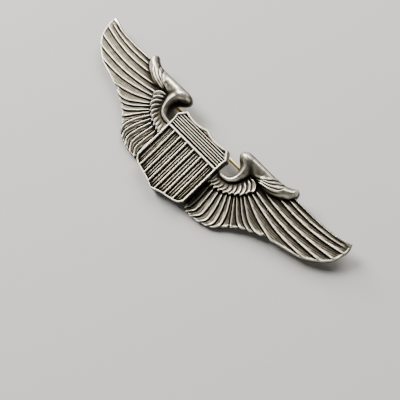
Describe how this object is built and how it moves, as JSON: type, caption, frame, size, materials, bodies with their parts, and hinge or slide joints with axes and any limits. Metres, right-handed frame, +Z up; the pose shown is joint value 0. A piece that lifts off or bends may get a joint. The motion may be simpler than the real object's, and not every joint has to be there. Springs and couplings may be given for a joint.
{
  "type": "pilot wings pin",
  "caption": "Badge of two spread feathered wings with a ribbed shield at the centre, worn with a hinged pin and a locking catch on its back.",
  "frame": {"origin": "the middle of the badge's footprint, on the surface it lies on face up", "axes": "+X along the wingspan towards the viewer's right wing, +Y up the shield towards the top edge, +Z up out of the surface. The badge leans 15.4 degrees about X, propped at its top edge by its hinge and catch."},
  "size_m": [0.0772, 0.0224, 0.0079],
  "materials": {
    "wing_silver": "antiqued silver, dark in the hollows and worn bright on the feather rims",
    "shield_silver": "antiqued silver, dark between the ridges",
    "fitting_brass": "satin, a little tarnished",
    "pin_brass": "drawn wire, polished",
    "rivet_steel": "satin",
    "roller_nickel": "nickel plated, satin"
  },
  "bodies": {
    "badge": {"left_wing": "wing_silver", "right_wing": "wing_silver", "shield": "shield_silver", "hinge_patch": "fitting_brass", "hinge_bracket": "fitting_brass", "hinge_rivet": "rivet_steel", "catch_patch": "fitting_brass", "catch_housing": "fitting_brass"},
    "pin": {"pin_stem": "pin_brass"},
    "roller": {"catch_roller": "roller_nickel"}
  },
  "joints": [
    {"name": "pin_stem_swing", "type": "hinge", "parent": "badge", "child": "pin", "pos_m": [0.014, 0.0066, 0.00165], "axis": [0, -0.9641, -0.2655], "range_deg": [0, 100]},
    {"name": "catch_roller_turn", "type": "hinge", "parent": "badge", "child": "roller", "pos_m": [-0.014, 0.0066, 0.00165], "axis": [-1, 0, 0], "range_deg": [0, 130]}
  ]
}
